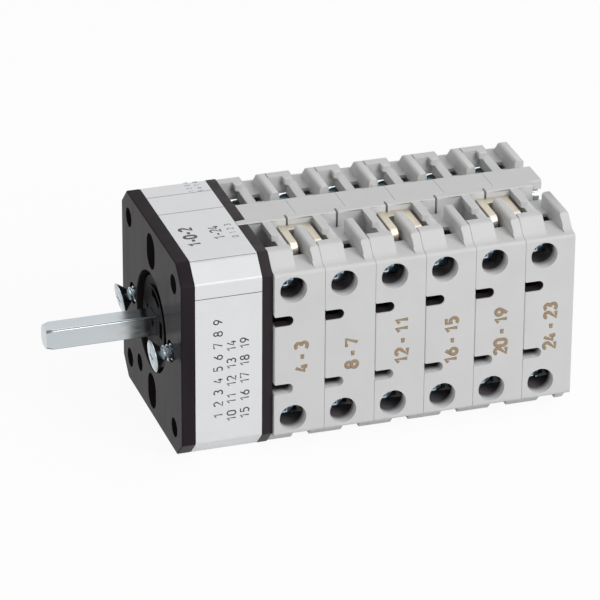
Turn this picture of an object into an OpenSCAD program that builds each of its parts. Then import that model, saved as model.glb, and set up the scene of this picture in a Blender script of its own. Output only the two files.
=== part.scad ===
// Six-deck cam switch. A square shaft turns one cam in each deck, each cam moves two contact
// plungers, and each plunger opens or closes a bridge between two screw terminals.
// X runs along the shaft towards the rear, Y away from the numbered side, Z up.
// The origin is on the shaft axis at the front face of the plate.

/* [Front plate] */
// Width and height of the square plate
plate_w = 48; // [46:0.5:54]
// Thickness of the plate
plate_t = 3.2; // [2.6:0.1:4]
// Corner chamfer of the plate, the housing and the flange
corner_cut = 4.2; // [3:0.1:5]
// Distance of the fixing holes from the plate's edges
fix_edge = 6; // [5.4:0.1:7]
// Diameter of the fixing holes
fix_hole_d = 4.6; // [4:0.1:5]
// Diameter of the round opening round the hub
opening_d = 23.6; // [22.6:0.2:25]
// Width of the oblong holes above and below the opening
oblong_w = 6.4; // [5:0.1:6.6]
// Length of the oblong holes
oblong_l = 8.6; // [7:0.1:9]
// Distance of the side screws from the round opening's edge
side_screw_edge = 3.5; // [3.2:0.1:4]
// Diameter of the holes round the side screws
screw_hole_d = 5.2; // [4.6:0.1:5.4]
// Length of the side screws under their countersunk heads' front
side_screw_l = 10; // [9:0.5:11]
// How far the near side screw stands out of the plate
near_screw_out = 4.3; // [2.4:0.1:5]
// How far the far side screw stands out of the plate
far_screw_out = 3.3; // [2.4:0.1:5]

/* [Housing] */
// Length of the indexing housing behind the plate
housing_l = 15.6; // [14:0.2:20]
// Thickness of the housing's front wall
housing_front_t = 2; // [1.6:0.1:3]
// Thickness of the flange between the housing and the decks
flange_t = 2.5; // [2:0.1:4]
// Thickness of the label band
label_t = 0.15; // [0.1:0.05:0.3]

/* [Shaft and hub] */
// Width across flats of the square shaft
shaft_w = 5; // [4:0.1:5.6]
// Length of shaft in front of the plate
shaft_out = 25.2; // [15:0.5:50]
// Diameter of the hub's flange in the opening
hub_d = 20.4; // [19:0.2:21]
// Depth of the hub's flange below the plate's face
hub_depth = 2.2; // [1.5:0.1:2.5]
// Diameter of the hub's raised face
hub_face_d = 17; // [16:0.2:18]
// Depth of the hub's raised face below the plate's face
hub_face_depth = 0.5; // [0.2:0.1:1]
// Turn from the middle position to either end position
throw_angle = 60; // [60:1:60]

/* [Decks] */
// Length of one deck along the shaft
deck_pitch = 11.9; // [11.4:0.1:14]
// Width of a deck between its two numbered faces
deck_w = 50; // [49:0.5:56]
// Step from the spine's top down to the top of a numbered face
face_step = 3.7; // [3.2:0.1:4]
// Width of the spine
spine_w = 10.4; // [10:0.2:11]
// Thickness of the partition at a deck's rear
partition_t = 1.8; // [1.4:0.1:2.2]
// Thickness of the two numbered walls
side_wall = 3; // [2:0.1:3.4]
// Thickness of the wall fingers between the terminals
finger_t = 2.2; // [1.8:0.1:2.4]
// Diameter of the screwdriver holes
access_d = 6.3; // [5.8:0.1:6.8]
// Distance of the terminal screws from a deck's front edge
screw_x = 4.5; // [4.3:0.1:4.8]
// Distance of the terminal screws from the top or bottom of a numbered face
screw_edge = 4.3; // [4.1:0.1:4.5]

/* [Contacts] */
// Distance of the fixed contact strips from the numbered faces
strip_inset = 11.5; // [11:0.1:11.8]
// Thickness of the fixed contact strips
strip_t = 1; // [0.8:0.1:1.1]
// Thickness of the sheet metal links
link_t = 0.8; // [0.6:0.05:0.9]
// Diameter of the terminal screws' heads
head_d = 5.6; // [5:0.1:5.8]
// Diameter of the terminal screws' threads
thread_d = 3.5; // [3:0.1:4]
// Thickness of the saddle clamps
clamp_t = 1; // [0.8:0.1:1.2]
// Mean radius of the cams
cam_r = 7.4; // [7.2:0.1:7.6]
// Movement of a plunger from the middle to either end position
cam_lift = 1.2; // [1:0.05:1.3]
// Diameter of the tie rods
rod_d = 2.9; // [2.5:0.1:3]

/* [Hidden] */
$fn = 48;

deck_n = 6;
// Gap at faces that seat on each other, radial gap of turning fits, and gap of sliding fits
seat_gap = 0.04;
run_gap = 0.08;
slide_gap = 0.1;

// Stations along the shaft
housing_x = plate_t + seat_gap;
flange_x = plate_t + housing_l;
decks_x = flange_x + flange_t;
decks_end = decks_x + deck_n * deck_pitch;
chamber_x = plate_t + housing_front_t;

// Outlines
housing_w = plate_w - 2 * label_t - 2 * seat_gap;
half_w = plate_w / 2;
deck_half = deck_w / 2;
spine_top = half_w;
face_top = spine_top - face_step;
wall_top = spine_top - 0.2;
edge_r = 0.8;
spine_r = 0.5;

// Holes of the plate and the two side screws
fix_y = half_w - fix_edge;
oblong_z = (opening_d / 2 + half_w) / 2 - 0.2;
side_screw_y = opening_d / 2 + side_screw_edge;
screw_thread_d = 3.9;
csk_head_d = 7.4;
csk_rim_t = 0.3;
csk_cone_l = 1.5;
peg_hole_y = 9.9;
peg_hole_z = -15.3;
peg_hole_d = 4.2;

// Hub behind its flange, and the marks in its raised face
hub_body_d = 15;
hub_mark_depth = 1.3;
hub_slot_r = 7;
hub_slot_start = 80;
hub_slot_end = 127;
hub_key_y = 5.8;
hub_key_z = 0.35;
hub_key_h = 4;
hub_pin_y = 4.8;
hub_pin_z = 1.8;
hub_pin_d = 1.2;

// Inside a deck, as distances from the shaft axis or from the deck's front edge
deck_len = deck_pitch - 2 * seat_gap;
floor_x = deck_pitch - partition_t;
inner_y = deck_half - side_wall;
cam_room_r = cam_r + cam_lift + 1;
strip_y = deck_half - strip_inset;
screw_z = face_top - screw_edge;
terminal_roof_z = face_top - 1.1;
terminal_room_y = strip_y - 3.2;
terminal_room_z = screw_z - 4.4;
contact_room_y = strip_y - 1.3;
contact_room_z = terminal_room_z - 1.2;

// Terminal walls, seen from above
spine_side = spine_w / 2;
l_wall_y = strip_y + 3.9;
l_wall_x = 5.6;
web_x0 = 4.2;
web_x1 = 6.7;
web_top = wall_top - 1.8;
tall_x0 = 3.3;
tall_x1 = 5.3;
finger_x = deck_pitch - finger_t;
finger_start_y = spine_side + 3.6;
finger_r = 0.8;
wire_hole_y0 = strip_y - 0.7;
wire_hole_y1 = strip_y + 3;
recess_floor_z = terminal_roof_z - 3;
face_slot_l = 4.5;
face_slot_h = 2.5;
face_slot_z = 8.5;

// Slope of the walls' outer ends, between a round top edge and a hollow foot
slope = 48;
brow_r = 1.2;
foot_r = 2.6;

// Interlocking tab on the spine, on the near side above and on the far side below
tab_y = 3;
tab_l = 2.4;
tab_z = spine_top - 4.5;
notch_l = tab_l + 0.55;

// Terminal stack outwards from the strip
leg_y = strip_y + strip_t + slide_gap;
clamp_y = leg_y + link_t + slide_gap;
head_y = clamp_y + clamp_t + seat_gap;
head_t = 2.1;
screw_tip_y = strip_y - 3;
strip_w = 8;
strip_outer_z = terminal_roof_z - 0.4;

// Contact geometry
contact_x = 4.8;
contact_z = contact_room_z - 3.2;
strip_inner_z = contact_z - 1.8;
pad_t = 0.6;
pad_d = 3;
bridge_t = 0.8;
bridge_w = 4;
bridge_half = contact_z + 1.6;
plunger_w = 6;
plunger_h = 5;
nose_r = 1.2;
nose_y = cam_r + run_gap + 0.04 + nose_r;
shoulder_y = nose_y + nose_r + 0.1;
fixed_pad_y = strip_y + strip_t + pad_t;
bridge_pad_y = fixed_pad_y + cam_lift + 0.05;
bridge_y = bridge_pad_y + pad_t;
plunger_end_y = bridge_y + bridge_t + 1.4;
return_spring_d = 4.6;
return_wire_d = 0.5;
cam_x = 1.6;
cam_t = 6.4;
cam_hub_r = 4.4;

// Tie rods
rod_y = 2.4;
rod_z = spine_top - 3.8;
rod_hole_d = rod_d + 0.3;
insert_d = 4.6;
insert_l = 4;
rod_head_d = 5.4;
rod_head_t = 1.6;
rod_head_x = housing_x + 0.2;
rod_end_x = decks_end - 0.9;

// Indexing
star_r = 10.4;
star_depth = 1.2;
star_x = chamber_x + 4.2;
index_room_r = 11.9;
detent_nose_r = 2;
detent_h = 5.8;
detent_tip = star_r + 0.15;
detent_end = detent_tip + 6;
index_end_y = half_w - 2.4;
detent_spring_d = 5.2;
detent_wire_d = 0.7;
lug_half_angle = 12;
stop_gap_angle = 1;
stop_half_angle = 90 - throw_angle - lug_half_angle - stop_gap_angle;
stop_inner_r = 8.2;

function arc(cx, cy, r, a0, a1, n = 5) =
    [for (i = [0:n]) let (a = a0 + (a1 - a0) * i / n) [cx + r * cos(a), cy + r * sin(a)]];
function octagon(w, c) = let (h = w / 2, k = w / 2 - c)
    [[k, h], [h, k], [h, -k], [k, -h], [-k, -h], [-h, -k], [-h, k], [-k, h]];
function rounded_box(hw, hh, r) = concat(
    arc(hw - r, hh - r, r, 0, 90), arc(r - hw, hh - r, r, 90, 180),
    arc(r - hw, r - hh, r, 180, 270), arc(hw - r, r - hh, r, 270, 360));
function deck_x(i) = decks_x + i * deck_pitch;

// Odd decks close when the shaft turns one way, even decks when it turns the other way
function cam_sense(i) = i % 2 == 0 ? 1 : -1;
cam_span = throw_angle + 12;
cam_rate = cam_lift / throw_angle;
function signed(a) = (a % 360 + 540) % 360 - 180;
// Radius of a cam at angle a: two ramps that rise evenly with the angle, joined by short flanks
function ramp_r(a, s) = cam_r + s * cam_rate * a;
function cam_radius(a, s) = let (d = abs(signed(a)) <= 90 ? signed(a) : signed(a - 180))
    abs(d) <= cam_span ? ramp_r(d, s)
    : ramp_r(cam_span, s) * (d > 0 ? 1 - (d - cam_span) / (180 - 2 * cam_span)
        : (-cam_span - d) / (180 - 2 * cam_span))
    + ramp_r(-cam_span, s) * (d > 0 ? (d - cam_span) / (180 - 2 * cam_span)
        : 1 - (-cam_span - d) / (180 - 2 * cam_span));

module along_x(l) { rotate([90, 0, 90]) linear_extrude(l) children(); }
module rod_x(d, l) { rotate([0, 90, 0]) cylinder(d = d, h = l); }
// A block from x0 to x1, y0 to y1 and z0 to z1
module block(x0, x1, y0, y1, z0, z1) {
    translate([x0, y0, z0]) cube([x1 - x0, y1 - y0, z1 - z0]);
}
module half_turns() { children(); rotate([180, 0, 0]) children(); }
module two_sides() { children(); mirror([0, 1, 0]) children(); }
module four_corners() {
    for (my = [0, 1], mz = [0, 1]) mirror([0, my, 0]) mirror([0, 0, mz]) children();
}

module front_plate() {
    color([0.13, 0.12, 0.13]) difference() {
        along_x(plate_t) polygon(octagon(plate_w, corner_cut));
        for (sy = [-1, 1], sz = [-1, 1])
            translate([-1, sy * fix_y, sz * fix_y]) rod_x(fix_hole_d, plate_t + 2);
        translate([-1, 0, 0]) rod_x(opening_d, plate_t + 2);
        for (s = [-1, 1]) {
            translate([-1, s * side_screw_y, 0]) rod_x(screw_hole_d, plate_t + 2);
            for (e = [-1, 1])
                translate([-1, 0, s * oblong_z + e * (oblong_l - oblong_w) / 2])
                    rod_x(oblong_w, plate_t + 2);
            block(-1, plate_t + 1, -oblong_w / 2, oblong_w / 2,
                s * oblong_z - (oblong_l - oblong_w) / 2, s * oblong_z + (oblong_l - oblong_w) / 2);
        }
        translate([-1, peg_hole_y, peg_hole_z]) rod_x(peg_hole_d, plate_t + 2);
    }
}

module indexing_housing() {
    boss_depth = side_screw_l - min(near_screw_out, far_screw_out) - plate_t + 0.6;
    color([0.12, 0.11, 0.12]) difference() {
        translate([housing_x, 0, 0]) along_x(flange_x - housing_x - seat_gap)
            polygon(octagon(housing_w, corner_cut));
        // Bearing of the hub, and the room of the lug and the star wheel
        translate([plate_t - 1, 0, 0]) rod_x(hub_d + 2 * run_gap, housing_front_t + 2);
        translate([chamber_x, 0, 0]) rod_x(2 * index_room_r, housing_l);
        // Channels of the two detent plungers, open to the rear
        two_sides() block(star_x - slide_gap, flange_x + 1, star_r - 1, index_end_y,
            -detent_h / 2 - slide_gap, detent_h / 2 + slide_gap);
        for (s = [-1, 1]) translate([plate_t - 1, s * side_screw_y, 0])
            rod_x(screw_thread_d + 2 * seat_gap, boss_depth + 1);
        half_turns() translate([plate_t - 1, -rod_y, rod_z]) {
            rod_x(rod_hole_d, housing_l + 2);
            rod_x(rod_head_d + 0.3, rod_head_t + 1.2);
        }
        // Blind dimples behind the fixing holes
        for (sy = [-1, 1], sz = [-1, 1])
            translate([plate_t - 1, sy * fix_y, sz * fix_y]) rod_x(fix_hole_d, 2.8);
    }
    // Two end stops for the hub's lug
    color([0.12, 0.11, 0.12]) two_sides() translate([chamber_x, 0, 0])
        along_x(star_x - chamber_x - 0.6) polygon(concat(
            arc(0, 0, index_room_r + 0.6, -stop_half_angle, stop_half_angle, 8),
            arc(0, 0, stop_inner_r, stop_half_angle, -stop_half_angle, 8)));
}

module label_band() {
    color([0.9, 0.9, 0.91]) difference() {
        translate([housing_x, 0, 0]) along_x(flange_x - housing_x - seat_gap)
            polygon(octagon(plate_w, corner_cut));
        translate([housing_x - 1, 0, 0]) along_x(housing_l + 2)
            polygon(octagon(housing_w + 2 * seat_gap, corner_cut));
    }
}

module rear_flange() {
    color([0.12, 0.11, 0.12]) difference() {
        translate([flange_x, 0, 0]) along_x(flange_t - seat_gap) polygon(octagon(plate_w, corner_cut));
        translate([flange_x - 1, 0, 0]) rod_x(2 * (cam_hub_r + run_gap), flange_t + 2);
        half_turns() {
            translate([flange_x - 1, -rod_y, rod_z]) rod_x(rod_hole_d, flange_t + 2);
            block(flange_x - 1, decks_x + 1, -spine_side - slide_gap, -tab_y + slide_gap,
                tab_z - slide_gap, half_w + 1);
        }
    }
}

// Countersunk screw, its head's front at the origin, pointing along X
module countersunk_screw(l) {
    rotate([0, 90, 0]) {
        cylinder(d = csk_head_d, h = csk_rim_t);
        translate([0, 0, csk_rim_t])
            cylinder(d1 = csk_head_d, d2 = screw_thread_d, h = csk_cone_l);
        cylinder(d = screw_thread_d, h = l - 1.2);
        translate([0, 0, l - 1.2]) cylinder(d1 = screw_thread_d, d2 = 2.4, h = 1.2);
    }
}
module side_screws() {
    color([0.75, 0.78, 0.8]) {
        translate([-near_screw_out, -side_screw_y, 0]) countersunk_screw(side_screw_l);
        translate([-far_screw_out, side_screw_y, 0]) countersunk_screw(side_screw_l);
    }
}

module shaft() {
    rod_end = decks_end - 0.6;
    color([0.75, 0.79, 0.81]) intersection() {
        translate([-shaft_out, 0, 0]) along_x(shaft_out + rod_end) polygon(octagon(shaft_w, 0.3));
        union() {
            translate([-shaft_out, 0, 0]) rotate([0, 90, 0])
                cylinder(r1 = shaft_w * 0.62, r2 = shaft_w * 0.8, h = 0.9);
            translate([-shaft_out + 0.9, 0, 0]) rod_x(shaft_w * 2, shaft_out + rod_end);
        }
    }
}
// Square bore that the shaft drives
module square_bore(x0, x1) {
    h = shaft_w / 2 + run_gap / 2;
    block(x0, x1, -h, h, -h, h);
}

module rotor_hub() {
    color([0.14, 0.13, 0.14]) difference() {
        union() {
            translate([hub_face_depth, 0, 0]) rod_x(hub_face_d, hub_depth);
            translate([hub_depth, 0, 0]) rod_x(hub_d, chamber_x - 0.2 - hub_depth);
            translate([hub_depth, 0, 0]) rod_x(hub_body_d, star_x - 0.3 - hub_depth);
            // Lug that meets the end stops
            translate([chamber_x + 0.2, 0, 0]) along_x(star_x - 0.6 - chamber_x) polygon(concat(
                arc(0, 0, index_room_r - 0.5, 90 - lug_half_angle, 90 + lug_half_angle),
                arc(0, 0, 5, 90 + lug_half_angle, 90 - lug_half_angle)));
        }
        square_bore(hub_face_depth - 1, star_x + 1);
        // Curved slot, key pocket and pin hole in the raised face
        translate([hub_face_depth - 1, 0, 0]) {
            along_x(hub_mark_depth + 1) polygon(concat(
                arc(0, 0, hub_slot_r + 0.8, hub_slot_start, hub_slot_end, 8),
                arc(0, 0, hub_slot_r - 0.8, hub_slot_end, hub_slot_start, 8)));
            block(0, hub_mark_depth + 1, -hub_key_y - 1, 1 - hub_key_y,
                hub_key_z - hub_key_h / 2, hub_key_z + hub_key_h / 2);
            translate([0, hub_pin_y, hub_pin_z]) rod_x(hub_pin_d, hub_mark_depth + 1);
        }
    }
}

function star_radius(a) = star_r - star_depth * (1 + cos(6 * a)) / 2;
module star_wheel() {
    color([0.85, 0.83, 0.76]) difference() {
        translate([star_x, 0, 0]) along_x(flange_x - star_x - 0.3)
            polygon([for (a = [0:5:355]) star_radius(a) * [cos(a), sin(a)]]);
        square_bore(star_x - 1, flange_x);
    }
}

// Sprung plunger that drops into the star wheel's notches
module detent_plunger() {
    l = flange_x - 0.3 - star_x;
    color([0.85, 0.83, 0.76]) {
        translate([star_x, detent_tip + detent_nose_r, 0]) rod_x(2 * detent_nose_r, l);
        block(star_x, star_x + l, detent_tip + detent_nose_r, detent_end, -detent_h / 2, detent_h / 2);
    }
}
module detent_plunger_far() { detent_plunger(); }
module detent_plunger_near() { mirror([0, 1, 0]) detent_plunger(); }

// Helical spring along Y from y0 to y1, its wire swept round the axis at x. It has as many
// turns as fit at a pitch of one and a half wires.
module spring(x, y0, y1, d, wire) {
    turns = floor((y1 - y0 - wire) / (1.5 * wire));
    sides = 6;
    rings = turns * 10;
    rise = y1 - y0 - wire;
    color([0.7, 0.72, 0.74]) translate([x, y0 + wire / 2, 0]) polyhedron(
        points = [for (i = [0:rings], j = [0:sides - 1]) let (a = 360 * turns * i / rings,
            b = 360 * j / sides, r = (d - wire + wire * cos(b)) / 2)
            [r * sin(a), rise * i / rings + wire * sin(b) / 2, r * cos(a)]],
        faces = concat([[for (j = [0:sides - 1]) j]],
            [for (i = [0:rings - 1], j = [0:sides - 1]) let (k = (j + 1) % sides)
                [i * sides + j, (i + 1) * sides + j, (i + 1) * sides + k, i * sides + k]],
            [[for (j = [0:sides - 1]) (rings + 1) * sides - 1 - j]]));
}
module detent_spring() {
    spring((star_x + flange_x) / 2, detent_end + seat_gap, index_end_y - seat_gap,
        detent_spring_d, detent_wire_d);
}
module detent_spring_far() { detent_spring(); }
module detent_spring_near() { mirror([0, 1, 0]) detent_spring(); }

// Outline of the walls that rise above the body, from y to the slope at their outer ends
function wall_outline(y) = let (n = 90 - slope, fall = wall_top - face_top,
        run = (fall - (brow_r + foot_r) * (1 - sin(n))) / tan(slope),
        foot_y = deck_half - edge_r, brow_y = foot_y - (brow_r + foot_r) * cos(n) - run)
    concat([[y, face_top - 1], [y, wall_top]], arc(brow_y, wall_top - brow_r, brow_r, 90, n),
        arc(foot_y, face_top + foot_r, foot_r, 180 + n, 270), [[foot_y - 1, face_top - 1]]);

// Walls that rise above the body at one terminal, with the tall part of the stem from y0 to y1
module terminal_walls(y0, y1) {
    // Front wall that slopes to the numbered face
    translate([seat_gap, 0, 0]) along_x(l_wall_x - seat_gap) polygon(wall_outline(l_wall_y));
    // Stem from the spine to the front wall, and its tall part
    block(web_x0, web_x1, spine_side - 1, l_wall_y + 0.5, face_top - 1, web_top);
    block(tall_x0, tall_x1, y0, y1, web_top - 0.5, wall_top);
    // Finger, rounded along the top
    intersection() {
        translate([finger_x, 0, 0]) along_x(finger_t - seat_gap)
            polygon(wall_outline(finger_start_y));
        translate([0, deck_half, 0]) rotate([90, 0, 0]) linear_extrude(deck_half) polygon(concat(
            [[finger_x, 0]], [[deck_pitch - seat_gap, 0]],
            arc(deck_pitch - seat_gap - finger_r / 2, wall_top - finger_r / 2, finger_r / 2, 0, 90),
            arc(finger_x + finger_r, wall_top - finger_r, finger_r, 90, 180)));
    }
}

// Room cut down from above at one terminal
module terminal_recesses() {
    // Recess over the clamp, open to the front, that runs under the stem's tall part
    block(-1, tall_x0, spine_side, l_wall_y, recess_floor_z, spine_top + 1);
    block(-1, web_x0, spine_side, l_wall_y, recess_floor_z, web_top);
    // Wire hole between the stem and the finger
    block(web_x1, finger_x - 0.1, wire_hole_y0, wire_hole_y1, terminal_roof_z - 1, face_top + 1);
    // Cavity round the clamp, and the screwdriver hole
    block(-1, floor_x, terminal_room_y, inner_y, terminal_room_z, terminal_roof_z);
    translate([screw_x, inner_y - 0.5, screw_z]) rotate([-90, 0, 0])
        cylinder(d = access_d, h = side_wall + 1);
    // Slot that holds the contact strip between the two cavities
    block(-1, screw_x + strip_w / 2 + slide_gap, strip_y - slide_gap, strip_y + strip_t + slide_gap,
        contact_room_z - 0.5, terminal_room_z + 0.5);
    // Slot in the numbered face, open to the front
    block(-1, face_slot_l - face_slot_h / 2, inner_y - 0.5, deck_half + 1,
        face_slot_z - face_slot_h / 2, face_slot_z + face_slot_h / 2);
    translate([face_slot_l - face_slot_h / 2, inner_y - 0.5, face_slot_z]) rotate([-90, 0, 0])
        cylinder(d = face_slot_h, h = side_wall + 2);
}

module deck_body(i) {
    color([0.8, 0.8, 0.81]) translate([deck_x(i), 0, 0]) difference() {
        union() {
            translate([seat_gap, 0, 0]) along_x(deck_len)
                polygon(rounded_box(deck_half, face_top, edge_r));
            translate([seat_gap, 0, 0]) along_x(deck_len)
                polygon(rounded_box(spine_side, spine_top, spine_r));
            half_turns() {
                terminal_walls(strip_y + 2.1, l_wall_y + 0.5);
                mirror([0, 1, 0]) terminal_walls(spine_side - 1, strip_y - 1.4);
                intersection() {
                    block(-tab_l, 1, -half_w, -tab_y, tab_z, half_w + 1);
                    translate([-tab_l, 0, 0]) along_x(tab_l + 1)
                        polygon(rounded_box(spine_side, spine_top, spine_r));
                }
            }
        }
        // Room of the cam, the plunger channels and the two contact rooms
        translate([-1, 0, 0]) rod_x(2 * cam_room_r, floor_x + 1);
        two_sides() {
            block(-1, contact_x + plunger_w / 2 + slide_gap, cam_room_r - 1.6, contact_room_y + 1,
                -plunger_h / 2 - slide_gap, plunger_h / 2 + slide_gap);
            block(-1, floor_x, contact_room_y, inner_y, -contact_room_z, contact_room_z);
        }
        four_corners() terminal_recesses();
        // Bearing of the cam's hub in the partition
        rod_x(2 * (cam_hub_r + run_gap), deck_pitch + 1);
        half_turns() {
            translate([-tab_l - 1, -rod_y, rod_z]) rod_x(rod_hole_d, deck_pitch + tab_l + 2);
            // Notch for the next deck's tab
            block(deck_pitch - notch_l, deck_pitch + 1, -spine_side, -tab_y + slide_gap,
                tab_z - slide_gap, spine_top + 1);
            block(deck_pitch - notch_l, deck_pitch + 1, -spine_side - 1, -tab_y + slide_gap,
                face_top, spine_top + 1);
            if (i == deck_n - 1)
                translate([deck_pitch - notch_l - insert_l, -rod_y, rod_z])
                    rod_x(insert_d + 2 * seat_gap, insert_l + 1);
        }
    }
}
module deck_1() { deck_body(0); }
module deck_2() { deck_body(1); }
module deck_3() { deck_body(2); }
module deck_4() { deck_body(3); }
module deck_5() { deck_body(4); }
module deck_6() { deck_body(5); }

module cam(i) {
    color([0.86, 0.84, 0.78]) translate([deck_x(i), 0, 0]) difference() {
        union() {
            translate([cam_x, 0, 0]) along_x(cam_t) polygon([for (a = [0:4:356])
                cam_radius(a, cam_sense(i)) * [cos(a), sin(a)]]);
            translate([0.15, 0, 0]) rod_x(2 * cam_hub_r, deck_pitch - 0.3);
        }
        square_bore(-1, deck_pitch + 1);
    }
}
module cam_1() { cam(0); }
module cam_2() { cam(1); }
module cam_3() { cam(2); }
module cam_4() { cam(3); }
module cam_5() { cam(4); }
module cam_6() { cam(5); }

// Plunger on the far side: a round nose on the cam, and a window that holds the bridge
module plunger(i) {
    x0 = contact_x - plunger_w / 2;
    x1 = contact_x + plunger_w / 2;
    color([0.25, 0.25, 0.27]) translate([deck_x(i), 0, 0]) difference() {
        union() {
            translate([x0, nose_y, 0]) rod_x(2 * nose_r, plunger_w);
            block(x0, x1, nose_y, shoulder_y + 1, -nose_r, nose_r);
            block(x0, x1, shoulder_y, plunger_end_y, -plunger_h / 2, plunger_h / 2);
        }
        block(contact_x - bridge_w / 2 - slide_gap, contact_x + bridge_w / 2 + slide_gap,
            bridge_y - seat_gap, bridge_y + bridge_t + 0.4, -plunger_h, plunger_h);
    }
}
module plunger_far_1() { plunger(0); }
module plunger_far_2() { plunger(1); }
module plunger_far_3() { plunger(2); }
module plunger_far_4() { plunger(3); }
module plunger_far_5() { plunger(4); }
module plunger_far_6() { plunger(5); }
module plunger_near_1() { mirror([0, 1, 0]) plunger(0); }
module plunger_near_2() { mirror([0, 1, 0]) plunger(1); }
module plunger_near_3() { mirror([0, 1, 0]) plunger(2); }
module plunger_near_4() { mirror([0, 1, 0]) plunger(3); }
module plunger_near_5() { mirror([0, 1, 0]) plunger(4); }
module plunger_near_6() { mirror([0, 1, 0]) plunger(5); }

// Moving bridge on the far side, with a contact button at each end
module bridge(i) {
    color([0.85, 0.6, 0.35]) translate([deck_x(i), 0, 0]) {
        block(contact_x - bridge_w / 2, contact_x + bridge_w / 2, bridge_y, bridge_y + bridge_t,
            -bridge_half, bridge_half);
        for (s = [-1, 1]) translate([contact_x, bridge_pad_y, s * contact_z]) rotate([-90, 0, 0])
            cylinder(d = pad_d, h = pad_t + 0.1);
    }
}
module bridge_far_1() { bridge(0); }
module bridge_far_2() { bridge(1); }
module bridge_far_3() { bridge(2); }
module bridge_far_4() { bridge(3); }
module bridge_far_5() { bridge(4); }
module bridge_far_6() { bridge(5); }
module bridge_near_1() { mirror([0, 1, 0]) bridge(0); }
module bridge_near_2() { mirror([0, 1, 0]) bridge(1); }
module bridge_near_3() { mirror([0, 1, 0]) bridge(2); }
module bridge_near_4() { mirror([0, 1, 0]) bridge(3); }
module bridge_near_5() { mirror([0, 1, 0]) bridge(4); }
module bridge_near_6() { mirror([0, 1, 0]) bridge(5); }

module return_springs() {
    for (i = [0:deck_n - 1]) translate([deck_x(i), 0, 0])
        spring(contact_x, plunger_end_y + seat_gap, inner_y - seat_gap, return_spring_d,
            return_wire_d);
}
module return_springs_far() { return_springs(); }
module return_springs_near() { mirror([0, 1, 0]) return_springs(); }

// Four strips in each deck, from the contact button to the tapped terminal plate
module fixed_contacts() {
    color([0.85, 0.68, 0.35]) for (i = [0:deck_n - 1]) translate([deck_x(i), 0, 0]) four_corners() {
        difference() {
            block(screw_x - strip_w / 2, screw_x + strip_w / 2, strip_y, strip_y + strip_t,
                strip_inner_z, strip_outer_z);
            translate([screw_x, strip_y - 1, screw_z]) rotate([-90, 0, 0])
                cylinder(d = thread_d + 2 * seat_gap, h = strip_t + 2);
        }
        translate([contact_x, strip_y + strip_t - 0.1, contact_z]) rotate([-90, 0, 0])
            cylinder(d = pad_d, h = pad_t + 0.1);
    }
}

module terminal_screws() {
    color([0.62, 0.68, 0.72]) for (i = [0:deck_n - 1]) translate([deck_x(i), 0, 0]) four_corners()
        translate([screw_x, screw_tip_y, screw_z]) rotate([-90, 0, 0]) difference() {
            union() {
                cylinder(d = thread_d, h = head_y - screw_tip_y + 0.1);
                translate([0, 0, head_y - screw_tip_y]) cylinder(d = head_d, h = head_t);
            }
            translate([-head_d, -0.5, head_y - screw_tip_y + head_t - 1.1])
                cube([2 * head_d, 1, 2]);
        }
}

module saddle_clamps() {
    half = 3.7;
    color([0.6, 0.68, 0.72]) for (i = [0:deck_n - 1]) translate([deck_x(i), 0, 0]) four_corners()
        difference() {
            block(screw_x - half, screw_x + half, clamp_y, clamp_y + clamp_t,
                terminal_room_z + 1, terminal_roof_z - 0.3);
            translate([screw_x, clamp_y - 1, screw_z]) rotate([-90, 0, 0])
                cylinder(d = thread_d + 0.3, h = clamp_t + 2);
        }
}

// Link from deck i to the next one, in the upper terminals of the numbered side. Its two legs
// pass beside the screws and bend down behind the clamps.
module link(i) {
    leg_w = 1.8;
    top = wall_top - 1.4;
    bend_y = leg_y - link_t;
    bend_z = top - 2 * link_t;
    color([0.9, 0.82, 0.62]) translate([deck_x(i), 0, 0]) mirror([0, 1, 0]) {
        block(web_x1 + 0.2, deck_pitch + 0.8 + leg_w, spine_side + 0.2, finger_start_y - 1.2,
            top - link_t, top);
        for (x = [web_x1 + 0.2, deck_pitch + 0.8]) translate([x, 0, 0]) along_x(leg_w)
            polygon(concat([[spine_side + 0.2, top - link_t], [spine_side + 0.2, top]],
                arc(bend_y, bend_z, 2 * link_t, 90, 0),
                [[leg_y + link_t, terminal_room_z + 1], [leg_y, terminal_room_z + 1]],
                arc(bend_y, bend_z, link_t, 0, 90)));
    }
}
module link_1_2() { link(0); }
module link_3_4() { link(2); }
module link_5_6() { link(4); }

module tie_rods() {
    color([0.72, 0.74, 0.76]) half_turns() translate([rod_head_x, -rod_y, rod_z]) {
        rod_x(rod_head_d, rod_head_t);
        rod_x(rod_d, rod_end_x - rod_head_x);
    }
}
// Threaded inserts in the rear deck that take the tie rods
module tie_rod_inserts() {
    x0 = decks_end - notch_l - insert_l + seat_gap;
    color([0.8, 0.66, 0.3]) half_turns() translate([x0, -rod_y, rod_z]) difference() {
        rod_x(insert_d, insert_l - 2 * seat_gap);
        translate([-1, 0, 0]) rod_x(rod_d + 2 * seat_gap, insert_l + 2);
    }
}

front_plate();
indexing_housing();
label_band();
rear_flange();
side_screws();
shaft();
rotor_hub();
star_wheel();
detent_plunger_near();
detent_plunger_far();
detent_spring_near();
detent_spring_far();
deck_1();
deck_2();
deck_3();
deck_4();
deck_5();
deck_6();
cam_1();
cam_2();
cam_3();
cam_4();
cam_5();
cam_6();
plunger_near_1();
plunger_near_2();
plunger_near_3();
plunger_near_4();
plunger_near_5();
plunger_near_6();
plunger_far_1();
plunger_far_2();
plunger_far_3();
plunger_far_4();
plunger_far_5();
plunger_far_6();
bridge_near_1();
bridge_near_2();
bridge_near_3();
bridge_near_4();
bridge_near_5();
bridge_near_6();
bridge_far_1();
bridge_far_2();
bridge_far_3();
bridge_far_4();
bridge_far_5();
bridge_far_6();
return_springs_near();
return_springs_far();
fixed_contacts();
terminal_screws();
saddle_clamps();
link_1_2();
link_3_4();
link_5_6();
tie_rods();
tie_rod_inserts();
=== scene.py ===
import math

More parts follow.
